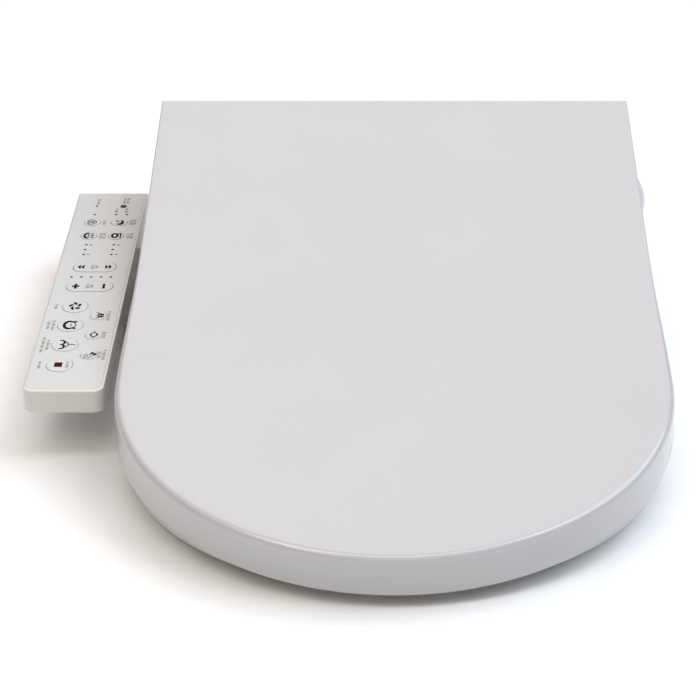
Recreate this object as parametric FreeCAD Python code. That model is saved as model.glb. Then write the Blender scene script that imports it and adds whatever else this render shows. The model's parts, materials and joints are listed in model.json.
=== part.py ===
import FreeCAD, Part
import math
import os

# Electric bidet seat, in millimetres.
# Origin: midway between the two fixing bolts, on the toilet's rim plane.
# +Z is up, the front of the seat is towards -Y, +X is the right hand of a viewer in front.

os.makedirs("parts", exist_ok=True)

V = FreeCAD.Vector
EPS = 0.01
FAR = 600.0

# Hinge line shared by the seat and the lid, parallel to X
HINGE_Y = -10.0
HINGE_Z = 72.0
PIN_R = 5.0
RUNNING_GAP = 0.05

# Lid: a sloping plate with a deep rim
LID_SLOPE = 10.0
LID_REAR_Y = 46.0
LID_REAR_Z = 132.0
LID_HALF_REAR = 187.6
LID_HALF_WAIST = 187.0
LID_HALF_HIP = 188.1
LID_HALF_MAX = 190.5
LID_WAIST_AT = 190.0
LID_HIP_AT = 275.0
LID_STRAIGHT = 346.0
LID_NOSE = 168.0
LID_PLATE = 4.0
LID_RIM = 33.0
LID_EDGE_R = 5.0
LID_REAR_LIP = 8.0
EAR_IN = 183.2
EAR_OUT = 187.6
EAR_R = 16.0
DOME_R = 24.0
DOME_HIGH = 12.0
DOME_SAG = 2.0

# Housing behind the seat
HOUSE_HALF = 172.0
HOUSE_WALL = 2.5
HOUSE_BOTTOM = 3.0
HOUSE_SPLIT = 32.0
HOUSE_REAR_FOOT_Y = 20.0
BARREL_R = 43.0
FRONT_R = 122.0

# Seat ring
SEAT_HALF_REAR = 180.4
SEAT_HALF_MAX = 183.0
SEAT_MAX_Y = -290.0
SEAT_NOSE = 157.0
SEAT_BOTTOM = 9.0
SEAT_FRONT_TOP = 35.5
SEAT_SLOPE = 5.0
SEAT_WALL = 2.6
SEAT_SPLIT = 17.0
SEAT_BACK_R = 136.0
SEAT_EDGE_R = 7.0
OPENING_Y = -270.0
OPENING_HALF = 108.0
OPENING_FRONT = 128.0
OPENING_REAR = 95.0
LUG_IN = 174.0
LUG_R = 15.0

# Spray nozzles: two wands side by side, sloping down to the front
NOZZLE_SLOPE = 35.0
NOZZLE_Y = -114.0
NOZZLE_Z = 14.0
NOZZLE_X = 9.0
TIP_R = 7.0
TIP_LEN = 22.0
WAND_R = 6.6
WAND_LEN = 112.0
RACK_ROOT = 4.5
RACK_PITCH_LINE = 5.5
GEAR_MODULE = 1.0
GEAR_TEETH = 12
GEAR_AT = 35.0

# Control arm on the left
ARM_LEFT = -257.0
ARM_RIGHT = -200.6
ARM_FRONT = -288.0
ARM_REAR = 22.5
ARM_TOP = 60.0
ARM_NOSE_BOTTOM = 43.0
ARM_ROOT_BOTTOM = 8.0
ARM_WALL = 2.2
ARM_REAR_R = 1.0
PLATE_THICK = 2.4
PLATE_GAP = 0.2
BOARD_TOP = 49.2
KEY_PROUD = 0.3
KEY_EDGE_R = 0.25
KEY_GAP = 0.3
BIG_KEY_R = 9.2
SMALL_KEY_R = 6.1
COLUMN_A = -239.5
COLUMN_B = -218.2
BIG_COLUMN = -235.2
SIDE_COLUMN = -216.3
BIG_ROW = -167.7
BIG_PITCH = 28.2
ROCKER_X = -228.5
ROCKER_HALF_WIDTH = 7.5

# Fixing bracket on the toilet
BOLT_SPACING = 140.0
BOLT_SLOT = 34.0
BOLT_R = 4.25
BRACKET_HALF = 97.0
BRACKET_FRONT = -48.0
BRACKET_REAR = 18.0
BRACKET_HIGH = 7.0


# ---------------------------------------------------------------- helpers

def box(x0, x1, y0, y1, z0, z1):
    return Part.makeBox(x1 - x0, y1 - y0, z1 - z0, V(x0, y0, z0))


def cyl_x(r, x0, x1, y, z):
    return Part.makeCylinder(r, x1 - x0, V(x0, y, z), V(1, 0, 0))


def cyl_y(r, y0, y1, x, z):
    return Part.makeCylinder(r, y1 - y0, V(x, y0, z), V(0, 1, 0))


def cyl_z(r, z0, z1, x, y):
    return Part.makeCylinder(r, z1 - z0, V(x, y, z0), V(0, 0, 1))


def prism_x(points, x0, x1):
    """A side outline, given as (y, z) points, extruded along X."""
    corners = [V(x0, y, z) for y, z in points]
    face = Part.Face(Part.makePolygon(corners + corners[:1]))
    return face.extrude(V(x1 - x0, 0, 0))


def rounded_plan(x0, x1, y0, y1, z0, z1, r):
    """An upright block whose four vertical edges are rounded."""
    block = box(x0, x1, y0, y1, z0, z1)
    upright = [e for e in block.Edges if abs(e.BoundBox.ZLength - (z1 - z0)) < EPS]
    return block.makeFillet(r, upright)


def arm_plan(x0, x1, y0, y1, z0, z1, r):
    """An upright block with round front corners and nearly square rear ones."""
    rounded = rounded_plan(x0, x1, y0, y1, z0, z1, r).common(box(x0, x1, y0, y1 - 2 * r, z0, z1))
    square = rounded_plan(x0, x1, y0 + 2 * r, y1, z0, z1, ARM_REAR_R)
    return rounded.fuse(square).removeSplitter()


def slot_solid(x, y, half_length, r, z0, z1):
    """A round-ended bar lying along X."""
    bar = box(x - half_length + r, x + half_length - r, y - r, y + r, z0, z1)
    ends = [cyl_z(r, z0, z1, x + side * (half_length - r), y) for side in (-1, 1)]
    return bar.fuse(ends).removeSplitter()


def turned(shape, degrees, y, z):
    """Turn about X at the frame's origin, then move to (y, z)."""
    result = shape.copy()
    result.rotate(V(0, 0, 0), V(1, 0, 0), degrees)
    result.translate(V(0, y, z))
    return result


def mirrored(shape):
    return shape.mirror(V(0, 0, 0), V(1, 0, 0))


def both_sides(shape):
    return [shape, mirrored(shape)]


def save(name, *solids):
    shape = solids[0] if len(solids) == 1 else Part.makeCompound(list(solids))
    shape.exportStep("parts/" + name + ".step")


# ---------------------------------------------------------------- outlines

def d_outline(half_points, straight, half_max, nose, z):
    """A D-shaped wire: square back, slightly waisted sides and a half-oval nose.

    half_points are (half width, distance from the back) from the back edge to the hips.
    """
    sides = []
    for side in (1, -1):
        points = [V(side * half, -back, z) for half, back in half_points]
        points.append(V(side * half_max, -straight, z))
        curve = Part.BSplineCurve()
        start = points[1] - points[0]
        curve.interpolate(Points=points, InitialTangent=start.normalize(), FinalTangent=V(0, -1, 0))
        sides.append(curve.toShape())
    oval = Part.Ellipse(V(0, -straight, z), half_max, nose)
    front = Part.ArcOfEllipse(oval, math.pi, 2 * math.pi).toShape()
    half_back, back = half_points[0]
    rear = Part.LineSegment(V(-half_back, -back, z), V(half_back, -back, z)).toShape()
    return Part.Wire(Part.__sortEdges__([rear, sides[0], front, sides[1]]))


def lid_block(inset, z_low, z_high):
    half_points = [(LID_HALF_REAR - inset, inset),
                   (LID_HALF_WAIST - inset, LID_WAIST_AT),
                   (LID_HALF_HIP - inset, LID_HIP_AT)]
    wire = d_outline(half_points, LID_STRAIGHT, LID_HALF_MAX - inset, LID_NOSE - inset, z_low)
    return Part.Face(wire).extrude(V(0, 0, z_high - z_low))


def lid_placed(shape):
    return turned(shape, LID_SLOPE, LID_REAR_Y, LID_REAR_Z)


def hinge_in_lid_frame():
    """The hinge line's (y, z) in the lid's own sloping frame."""
    dy = HINGE_Y - LID_REAR_Y
    dz = HINGE_Z - LID_REAR_Z
    c = math.cos(math.radians(LID_SLOPE))
    s = math.sin(math.radians(LID_SLOPE))
    return dy * c + dz * s, dz * c - dy * s


def on_hinge_circle(r, degrees):
    """The (y, z) point at radius r and this angle about the hinge line."""
    a = math.radians(degrees)
    return HINGE_Y + r * math.cos(a), HINGE_Z + r * math.sin(a)


def housing_block(inset, half_width):
    """The housing: a round barrel at the hinge, a sloping top and a bowed front."""
    barrel = BARREL_R - inset
    front = FRONT_R - inset
    bottom = HOUSE_BOTTOM + inset
    up = 90.0 + LID_SLOPE
    top_run = math.degrees(math.acos(barrel / front))
    low_angle = 180.0 + math.degrees(math.asin((HINGE_Z - bottom) / front))
    p_foot = (HOUSE_REAR_FOOT_Y - inset, bottom)
    p_rear = on_hinge_circle(barrel, 0.0)
    p_back_top = on_hinge_circle(barrel, up)
    p_front_top = on_hinge_circle(front, up + top_run)
    p_front_low = on_hinge_circle(front, low_angle)
    p_barrel_mid = on_hinge_circle(barrel, up / 2)
    p_front_mid = on_hinge_circle(front, (up + top_run + low_angle) / 2)

    def at(point):
        return V(-half_width, point[0], point[1])

    edges = [Part.LineSegment(at(p_foot), at(p_rear)).toShape(),
             Part.Arc(at(p_rear), at(p_barrel_mid), at(p_back_top)).toShape(),
             Part.LineSegment(at(p_back_top), at(p_front_top)).toShape(),
             Part.Arc(at(p_front_top), at(p_front_mid), at(p_front_low)).toShape(),
             Part.LineSegment(at(p_front_low), at(p_foot)).toShape()]
    return Part.Face(Part.Wire(edges)).extrude(V(2 * half_width, 0, 0))


def under_seat_top(drop):
    """Everything lower than the seat's sloping top, less this drop."""
    s = math.tan(math.radians(SEAT_SLOPE))
    nose_y = SEAT_MAX_Y - SEAT_NOSE
    front = SEAT_FRONT_TOP - drop - s * (FAR + nose_y)
    rear = SEAT_FRONT_TOP - drop + s * (FAR - nose_y)
    return prism_x([(-FAR, -FAR), (FAR, -FAR), (FAR, rear), (-FAR, front)], -FAR, FAR)


def seat_top_at(y):
    return SEAT_FRONT_TOP + math.tan(math.radians(SEAT_SLOPE)) * (y - SEAT_MAX_Y + SEAT_NOSE)


def opening_block(grow, z0, z1):
    """The oval opening, longer in front of its widest point than behind it."""
    half = OPENING_HALF + grow
    front = OPENING_FRONT + grow
    rear = OPENING_REAR + grow
    long_oval = Part.Ellipse(V(0, OPENING_Y - front, z0), V(half, OPENING_Y, z0), V(0, OPENING_Y, z0))
    short_oval = Part.Ellipse(V(0, OPENING_Y, z0), half, rear)
    front_half = Part.ArcOfEllipse(long_oval, -math.pi / 2, math.pi / 2).toShape()
    rear_half = Part.ArcOfEllipse(short_oval, 0, math.pi).toShape()
    wire = Part.Wire(Part.__sortEdges__([front_half, rear_half]))
    return Part.Face(wire).extrude(V(0, 0, z1 - z0))


def seat_block(inset):
    """The ring, cut off behind by an arc about the hinge line."""
    rear_y = HINGE_Y - 60
    points = [(SEAT_HALF_REAR - inset, -rear_y), (SEAT_HALF_REAR + 0.4 - inset, 180.0)]
    wire = d_outline(points, -SEAT_MAX_Y, SEAT_HALF_MAX - inset, SEAT_NOSE - inset, SEAT_BOTTOM + inset)
    body = Part.Face(wire).extrude(V(0, 0, 100))
    body = body.common(under_seat_top(inset))
    body = body.cut(cyl_x(SEAT_BACK_R + inset, -FAR, FAR, HINGE_Y, HINGE_Z))
    return body.cut(opening_block(inset, -1, 120))


# ---------------------------------------------------------------- lid

def make_lid():
    outer = lid_block(0, -LID_RIM, 0)
    top_rim = [e for e in outer.Edges
               if abs(e.BoundBox.ZMin) < EPS and abs(e.BoundBox.ZMax) < EPS and e.BoundBox.YLength > 1]
    shell = outer.makeFillet(LID_EDGE_R, top_rim)
    shell = shell.cut(lid_block(LID_PLATE, -LID_RIM - 1, -LID_PLATE))
    rear_gap = box(-LID_HALF_REAR + LID_PLATE, LID_HALF_REAR - LID_PLATE,
                   -LID_PLATE - 1, 1, -LID_RIM - 1, -LID_REAR_LIP)
    shell = shell.cut(rear_gap)
    hy, hz = hinge_in_lid_frame()
    for x0, x1 in ((EAR_IN, EAR_OUT), (-EAR_OUT, -EAR_IN)):
        tab = prism_x([(hy - 34, -LID_RIM + 4), (hy + 34, -LID_RIM + 4),
                       (hy + EAR_R - 0.6, hz), (hy - EAR_R + 0.6, hz)], x0, x1)
        shell = shell.fuse([tab, cyl_x(EAR_R, x0, x1, hy, hz)])
        shell = shell.cut(cyl_x(PIN_R + RUNNING_GAP, x0 - 1, x1 + 1, hy, hz))
    save("lid_shell", lid_placed(shell.removeSplitter()))


def make_lid_bumpers():
    lid_under = lid_placed(box(-FAR, FAR, -FAR, FAR, -FAR, -LID_PLATE))
    pads = []
    for x, y in ((112, -384), (144, -296)):
        pad = cyl_z(7, seat_top_at(y) + 1.2, 120, x, y).common(lid_under)
        pads += both_sides(pad)
    save("lid_bumpers", *pads)


def make_hinge_caps():
    """The right cap is a low dome whose middle sits a little below and ahead of the pin."""
    ball_r = (DOME_R ** 2 + DOME_HIGH ** 2) / (2 * DOME_HIGH)
    ball = Part.makeSphere(ball_r, V(EAR_OUT + DOME_HIGH - ball_r, HINGE_Y - DOME_SAG, HINGE_Z - DOME_SAG))
    dome = ball.common(box(EAR_OUT, EAR_OUT + 30, -100, 100, 0, 150))
    pin_space = cyl_x(PIN_R + 1.5, EAR_OUT - 1, EAR_OUT + 2.5, HINGE_Y, HINGE_Z)
    save("hinge_cap_right", dome.cut(pin_space))
    disc = cyl_x(18, -EAR_OUT - 3.4, -EAR_OUT, HINGE_Y, HINGE_Z)
    outer_edge = [e for e in disc.Edges if abs(e.BoundBox.XMax + EAR_OUT + 3.4) < EPS]
    disc = disc.makeFillet(1.4, outer_edge)
    save("hinge_cap_left", disc.cut(mirrored(pin_space)))


def make_hinge_pins():
    pin = cyl_x(PIN_R, 150, EAR_OUT + 0.8, HINGE_Y, HINGE_Z)
    save("hinge_pins", *both_sides(pin))


# ---------------------------------------------------------------- seat

def make_seat():
    outer = seat_block(0)
    top_edges = [e for e in outer.Edges if is_seat_top_edge(e)]
    outer = outer.makeFillet(SEAT_EDGE_R, top_edges)
    shell = outer.cut(seat_block(SEAT_WALL))
    spray_relief = box(-34, 34, -FAR, 0, 0, 24)
    relief_zone = spray_relief.cut(box(-FAR, FAR, -FAR, OPENING_Y, -1, 200))
    shell = shell.cut(relief_zone)
    lintel = box(-34, 34, -FAR, 0, 24, 24 + SEAT_WALL).common(outer)
    lintel = lintel.cut(box(-FAR, FAR, -FAR, OPENING_Y, -1, 200))
    cheeks = [box(x0, x0 + SEAT_WALL, OPENING_Y, 0, SEAT_SPLIT, 24 + SEAT_WALL).common(outer)
              for x0 in (-34 - SEAT_WALL, 34)]
    low_cheeks = [box(x0, x0 + SEAT_WALL, OPENING_Y, 0, 0, SEAT_SPLIT).common(outer)
                  for x0 in (-34 - SEAT_WALL, 34)]
    lower = shell.common(box(-FAR, FAR, -FAR, 0, 0, SEAT_SPLIT)).fuse(low_cheeks)
    upper = shell.common(box(-FAR, FAR, -FAR, 0, SEAT_SPLIT, 200)).fuse([lintel] + cheeks)
    for side in (1, -1):
        x0 = LUG_IN if side > 0 else -SEAT_HALF_REAR
        x1 = SEAT_HALF_REAR if side > 0 else -LUG_IN
        tail = prism_x([(-152, 30), (-152, seat_top_at(-152) - 3), (-130, 66),
                        (HINGE_Y, HINGE_Z + LUG_R), (HINGE_Y, HINGE_Z - LUG_R), (-124, 42)], x0, x1)
        lug = cyl_x(LUG_R, x0, x1, HINGE_Y, HINGE_Z)
        upper = upper.fuse([tail, lug])
        upper = upper.cut(cyl_x(PIN_R + RUNNING_GAP, x0 - 1, x1 + 1, HINGE_Y, HINGE_Z))
    save("seat_upper_shell", upper.removeSplitter())
    save("seat_lower_shell", lower.removeSplitter())


def is_seat_top_edge(edge):
    """True for the edges where the sloping top meets the ring's outer and inner walls."""
    for vertex in edge.Vertexes:
        if abs(vertex.Z - seat_top_at(vertex.Y)) > 0.02:
            return False
    middle = edge.valueAt((edge.FirstParameter + edge.LastParameter) / 2)
    return abs(middle.z - seat_top_at(middle.y)) < 0.02


def make_seat_heater():
    foil = seat_block(SEAT_WALL + 1.0).common(under_seat_top(SEAT_WALL + 0.4))
    foil = foil.cut(under_seat_top(SEAT_WALL + 1.0 + 0.8))
    foil = foil.cut([box(-FAR, FAR, -FAR, FAR, -10, SEAT_SPLIT), box(-FAR, FAR, -155, FAR, 0, 100)])
    save("seat_heater", foil)


def make_seat_sensor():
    y = -250.0
    top = seat_top_at(y) - 8
    save("seat_sensor", box(128, 152, y - 20, y + 20, top - 4, top))


def make_seat_bumpers():
    pads = []
    for x, y in ((148, -205), (128, -352)):
        pad = cyl_z(9, 0, SEAT_BOTTOM, x, y)
        rim = [e for e in pad.Edges if e.BoundBox.ZMax < EPS]
        pads += both_sides(pad.makeFillet(1.5, rim))
    save("seat_bumpers", *pads)


# ---------------------------------------------------------------- housing

SCREWS = [(-160.0, 8.0), (160.0, 8.0), (-160.0, -92.0), (78.0, -92.0)]
BUTTON_Y = -73.0
BUTTON_Z = 17.0
FILTER_Y = -96.0
FAN_Z = 18.0
FILTER_LOW = 7.0
FILTER_HIGH = 23.0
INLET_Y = -50.0
GLAND_Y = -20.0
INLET_Z = 18.0
GRILLE = (-110.0, -84.0, 38.0, 52.0)
LIGHT = (-152.0, -128.0, 13.0, 19.0)


def bow_strip(x0, x1, z0, z1, skin):
    """A piece of the housing's bowed front wall."""
    wall = housing_block(0, HOUSE_HALF).cut(housing_block(skin, HOUSE_HALF))
    return wall.common(box(x0, x1, -FAR, -70, z0, z1))


def post_rib(x, y):
    """The web that joins a screw post to the nearest wall of the cover."""
    z0 = HOUSE_SPLIT
    if abs(x) > HOUSE_HALF - 20:
        side = math.copysign(HOUSE_HALF - 1, x)
        return box(min(x, side), max(x, side), y - 1.5, y + 1.5, z0, z0 + 14)
    return box(x - 1.5, x + 1.5, -FRONT_R - 20, y, z0, z0 + 14)


def nozzle_placed(shape):
    return turned(shape, NOZZLE_SLOPE, NOZZLE_Y, NOZZLE_Z)


def make_housing():
    outer = housing_block(0, HOUSE_HALF)
    side_edges = [e for e in outer.Edges if e.BoundBox.XLength < EPS and e.BoundBox.ZMax > HOUSE_BOTTOM + 1]
    outer = outer.makeFillet(2.0, side_edges)
    inner = housing_block(HOUSE_WALL, HOUSE_HALF - HOUSE_WALL)
    shell = outer.cut(inner)
    below = box(-FAR, FAR, -FAR, FAR, 0, HOUSE_SPLIT)
    tray = shell.common(below)
    raised = box(-101.5, 101.5, -52.5, 60, HOUSE_BOTTOM, 10.8).common(outer)
    tray = tray.fuse([raised] + [cyl_z(5, HOUSE_BOTTOM, HOUSE_SPLIT, x, y) for x, y in SCREWS])
    tray = tray.cut(box(-99, 99, -50, 60, 0, 8.3))
    ports = [nozzle_placed(cyl_y(TIP_R + 0.6, -20, 30, side * NOZZLE_X, 0)) for side in (-1, 1)]
    side_holes = [box(HOUSE_HALF - 5, HOUSE_HALF + 1, FILTER_Y - 11, FILTER_Y + 11,
                      FILTER_LOW - 0.6, FILTER_HIGH + 0.6),
                  box(HOUSE_HALF - 5, HOUSE_HALF + 1, BUTTON_Y - 7, BUTTON_Y + 7, BUTTON_Z - 7, BUTTON_Z + 7),
                  cyl_x(9.0, HOUSE_HALF - 5, HOUSE_HALF + 1, INLET_Y, INLET_Z),
                  cyl_x(6.0, HOUSE_HALF - 5, HOUSE_HALF + 1, GLAND_Y, INLET_Z),
                  box(-HOUSE_HALF - 1, -HOUSE_HALF + 5, -85, -45, 15, 30)]
    intake = [box(58 + 5 * i, 60.5 + 5 * i, -FAR, -95, 12, 24) for i in range(6)]
    lamp_hole = box(LIGHT[0], LIGHT[1], -FAR, -80, LIGHT[2], LIGHT[3])
    screw_holes = [cyl_z(2.0, 0, HOUSE_SPLIT + 1, x, y) for x, y in SCREWS]
    head_holes = [cyl_z(4.2, 0, HOUSE_BOTTOM + 3, x, y) for x, y in SCREWS]
    tray = tray.cut(ports + side_holes + intake + [lamp_hole] + screw_holes + head_holes)
    save("base_tray", tray.removeSplitter())

    cover = shell.cut(below)
    posts = [cyl_z(5, HOUSE_SPLIT, HOUSE_SPLIT + 14, x, y).fuse(post_rib(x, y)) for x, y in SCREWS]
    cover = cover.fuse([post.common(outer) for post in posts])
    cover = cover.cut([cyl_z(1.9, HOUSE_SPLIT - 1, HOUSE_SPLIT + 11, x, y) for x, y in SCREWS])
    cover = cover.cut([cyl_x(PIN_R + RUNNING_GAP, -FAR, FAR, HINGE_Y, HINGE_Z),
                       box(GRILLE[0], GRILLE[1], -FAR, -90, GRILLE[2], GRILLE[3])])
    save("housing_cover", cover.removeSplitter())


def make_cover_screws():
    screws = []
    for x, y in SCREWS:
        head = cyl_z(3.8, HOUSE_BOTTOM + 0.4, HOUSE_BOTTOM + 3, x, y)
        shank = cyl_z(1.8, HOUSE_BOTTOM + 1, HOUSE_SPLIT + 9, x, y)
        cross = [box(x - 2.4, x + 2.4, y - 0.5, y + 0.5, 0, HOUSE_BOTTOM + 1.4),
                 box(x - 0.5, x + 0.5, y - 2.4, y + 2.4, 0, HOUSE_BOTTOM + 1.4)]
        screws.append(head.fuse(shank).cut(cross))
    save("cover_screws", *screws)


def make_rubber_feet():
    feet = []
    for x, y in ((140, -78), (140, 6)):
        pad = cyl_z(9, 0, HOUSE_BOTTOM, x, y)
        rim = [e for e in pad.Edges if e.BoundBox.ZMax < EPS]
        feet += both_sides(pad.makeFillet(1.0, rim))
    save("rubber_feet", *feet)


def make_bracket():
    plate = rounded_plan(-BRACKET_HALF, BRACKET_HALF, BRACKET_FRONT, BRACKET_REAR, 0, BRACKET_HIGH, 6)
    plate = plate.cut(rounded_plan(-BRACKET_HALF + 3, BRACKET_HALF - 3,
                                   BRACKET_FRONT + 3, BRACKET_REAR - 3, 3.5, 9, 4))
    slots = [slot_solid(side * BOLT_SPACING / 2, 0, BOLT_SLOT / 2, BOLT_R, -1, 9) for side in (-1, 1)]
    save("mounting_bracket", plate.cut(slots))


def make_release_button():
    x1 = HOUSE_HALF + 1.6
    cap = box(HOUSE_HALF - 8, x1, BUTTON_Y - 6.5, BUTTON_Y + 6.5, BUTTON_Z - 6.5, BUTTON_Z + 6.5)
    face = [e for e in cap.Edges if e.BoundBox.XMin > x1 - EPS]
    cap = cap.makeFillet(1.2, face)
    flange = box(HOUSE_HALF - 6, HOUSE_HALF - 4, BUTTON_Y - 8.5, BUTTON_Y + 8.5,
                 BUTTON_Z - 8.5, BUTTON_Z + 8.5)
    stem = box(HOUSE_HALF - 24, HOUSE_HALF - 7, BUTTON_Y - 2, BUTTON_Y + 2, BUTTON_Z - 4, BUTTON_Z + 4)
    save("release_button", cap.fuse([flange, stem]).removeSplitter())


def make_night_light():
    save("night_light_lens", bow_strip(LIGHT[0] + 0.1, LIGHT[1] - 0.1, LIGHT[2] + 0.1, LIGHT[3] - 0.1, 2.0))


def make_dryer_grille():
    x0, x1, z0, z1 = GRILLE
    grille = bow_strip(x0 + 0.1, x1 - 0.1, z0 + 0.1, z1 - 0.1, HOUSE_WALL)
    slots = [box(x0 + 2, x1 - 2, -FAR, 0, z0 + 2 + 2.6 * i, z0 + 3.5 + 2.6 * i) for i in range(4)]
    save("dryer_grille", grille.cut(slots))


# ---------------------------------------------------------------- water side

def make_water_inlet():
    nut = cyl_x(12, HOUSE_HALF - 8, HOUSE_HALF - 2.5 - EPS, INLET_Y, INLET_Z)
    spigot = cyl_x(10.48, HOUSE_HALF + 2, HOUSE_HALF + 16, INLET_Y, INLET_Z)
    neck = cyl_x(8.9, HOUSE_HALF - 12, HOUSE_HALF + 3, INLET_Y, INLET_Z)
    collar = cyl_x(12.5, HOUSE_HALF + EPS, HOUSE_HALF + 2, INLET_Y, INLET_Z)
    fitting = nut.fuse([spigot, neck, collar]).removeSplitter()
    save("water_inlet", fitting.cut(cyl_x(6.2, HOUSE_HALF - 13, HOUSE_HALF + 17, INLET_Y, INLET_Z)))


def make_inlet_filter():
    cup = cyl_x(6.1, HOUSE_HALF - 4, HOUSE_HALF + 13, INLET_Y, INLET_Z)
    cup = cup.cut(cyl_x(5.1, HOUSE_HALF - 3, HOUSE_HALF + 14, INLET_Y, INLET_Z))
    windows = [box(HOUSE_HALF - 1 + 3 * i, HOUSE_HALF + 0.6 + 3 * i,
                   INLET_Y - 8, INLET_Y + 8, INLET_Z - 2, INLET_Z + 2) for i in range(4)]
    save("inlet_filter", cup.cut(windows))


def make_solenoid_valve():
    body = box(HOUSE_HALF - 40, HOUSE_HALF - 13, INLET_Y - 13, INLET_Y + 13, 7, 31)
    coil = cyl_z(9, 31, 54, HOUSE_HALF - 27, INLET_Y)
    frame = box(HOUSE_HALF - 38, HOUSE_HALF - 16, INLET_Y - 10.5, INLET_Y + 10.5, 31, 34)
    valve = body.fuse([coil, frame]).removeSplitter()
    save("solenoid_valve", valve.cut(cyl_x(5, HOUSE_HALF - 30, HOUSE_HALF - 12, INLET_Y, INLET_Z)))


def make_heater_tank():
    tank = rounded_plan(50, 110, -78, -8, 13, 84, 10)
    tank = tank.cut(rounded_plan(53, 107, -75, -11, 16, 81, 7))
    stubs = [cyl_x(5, 109, 118, -40, z) for z in (24, 70)]
    tank = tank.fuse(stubs).cut([cyl_x(3.2, 100, 119, -40, z) for z in (24, 70)])
    save("heater_tank", tank.removeSplitter())


def make_flow_selector():
    body = box(-62, -34, -28, 4, 12, 36)
    motor = cyl_z(11, 36, 54, -48, -12)
    outlets = [cyl_y(2.5, -40, -28, x, 24) for x in (-55, -41)]
    save("flow_selector", body.fuse([motor] + outlets).removeSplitter())


# ---------------------------------------------------------------- nozzles

def rack_profile(y0, y1):
    """Rack teeth as (y, z) points, with a gap centred under the drive gear."""
    pitch = math.pi * GEAR_MODULE
    half_root = 0.82
    half_tip = 0.37
    tip = RACK_PITCH_LINE + 0.8 * GEAR_MODULE
    first = math.ceil((y0 + half_root - GEAR_AT) / pitch - 0.5)
    last = math.floor((y1 - half_root - GEAR_AT) / pitch - 0.5)
    points = [(y0, RACK_ROOT - 2), (y0, RACK_ROOT)]
    for i in range(first, last + 1):
        middle = GEAR_AT + (i + 0.5) * pitch
        points += [(middle - half_root, RACK_ROOT), (middle - half_tip, tip),
                   (middle + half_tip, tip), (middle + half_root, RACK_ROOT)]
    points += [(y1, RACK_ROOT), (y1, RACK_ROOT - 2)]
    return points


def make_wand(name, x):
    body = cyl_y(WAND_R, TIP_LEN, WAND_LEN, x, 0)
    body = body.cut(box(x - 10, x + 10, TIP_LEN + 2, WAND_LEN + 1, RACK_ROOT, 10))
    rack = prism_x(rack_profile(TIP_LEN + 4, WAND_LEN - 2), x - 2, x + 2)
    spigot = cyl_y(4.4, 10, TIP_LEN + 1, x, 0)
    wand = body.fuse([rack, spigot]).cut(cyl_y(2.0, 9, WAND_LEN + 1, x, 0))
    save(name, nozzle_placed(wand.removeSplitter()))

    cap = cyl_y(TIP_R, 0, TIP_LEN - 0.1, x, 0)
    nose = [e for e in cap.Edges if e.BoundBox.YMax < EPS]
    cap = cap.makeFillet(3.0, nose)
    cap = cap.cut(cyl_y(4.5, 9, TIP_LEN, x, 0))
    cap = cap.cut(box(x - 3, x + 3, 2.6, 11, TIP_R - 0.8, TIP_R + 1))
    holes = [cyl_z(0.6, 2, TIP_R, x + dx, y) for dx, y in ((0, 5.0), (-1.6, 7.5), (1.6, 7.5))]
    channel = cyl_y(1.8, 4, 10, x, 2.5)
    save(name + "_tip", nozzle_placed(cap.cut(holes + [channel])))


def gear_centre():
    return GEAR_AT, RACK_PITCH_LINE + GEAR_MODULE * GEAR_TEETH / 2


def make_drive_gear(name, side):
    gy, gz = gear_centre()
    r_pitch = GEAR_MODULE * GEAR_TEETH / 2
    x = side * NOZZLE_X
    gear = cyl_x(r_pitch - 1.0, x - 2, x + 2, gy, gz)
    tooth = prism_x([(gy - 0.72, gz - r_pitch + 1.4), (gy - 0.62, gz - r_pitch),
                     (gy - 0.3, gz - r_pitch - 0.8), (gy + 0.3, gz - r_pitch - 0.8),
                     (gy + 0.62, gz - r_pitch), (gy + 0.72, gz - r_pitch + 1.4)], x - 2, x + 2)
    teeth = []
    for i in range(GEAR_TEETH):
        one = tooth.copy()
        one.rotate(V(0, gy, gz), V(1, 0, 0), i * 360.0 / GEAR_TEETH)
        teeth.append(one)
    shaft_end = side * 30.0
    shaft = cyl_x(1.5, min(x, shaft_end), max(x, shaft_end), gy, gz)
    save(name, nozzle_placed(gear.fuse(teeth + [shaft]).removeSplitter()))


def make_nozzle_motors():
    gy, gz = gear_centre()
    can = cyl_x(9, 24, 38, gy, gz).cut(cyl_x(1.5 + RUNNING_GAP, 23, 31, gy, gz))
    motors = [nozzle_placed(shape) for shape in both_sides(can)]
    save("nozzle_motors", *motors)


def make_nozzle_guide():
    gy, gz = gear_centre()
    floor = box(-22, 22, 16, 118, -10.2, -7.8)
    cheeks = [box(x0, x0 + 4, 16, 118, -10.2, 8) for x0 in (-22, 18)]
    bearings = [box(x0, x0 + 4, gy - 8, gy + 8, 6, gz + 7) for x0 in (-22, 18)]
    guide = floor.fuse(cheeks + bearings)
    guide = guide.cut(cyl_x(1.5 + RUNNING_GAP, -30, 30, gy, gz))
    guide = nozzle_placed(guide)
    legs = [box(x0, x0 + 4, -78, -60, HOUSE_BOTTOM + HOUSE_WALL, 42) for x0 in (-22, 18)]
    save("nozzle_guide", guide.fuse(legs).removeSplitter())


# ---------------------------------------------------------------- air side

BLOWER_Y = -62.0
BLOWER_Z = 66.0
BLOWER_R = 28.0
BLOWER_X = (-112.0, -82.0)


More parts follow.
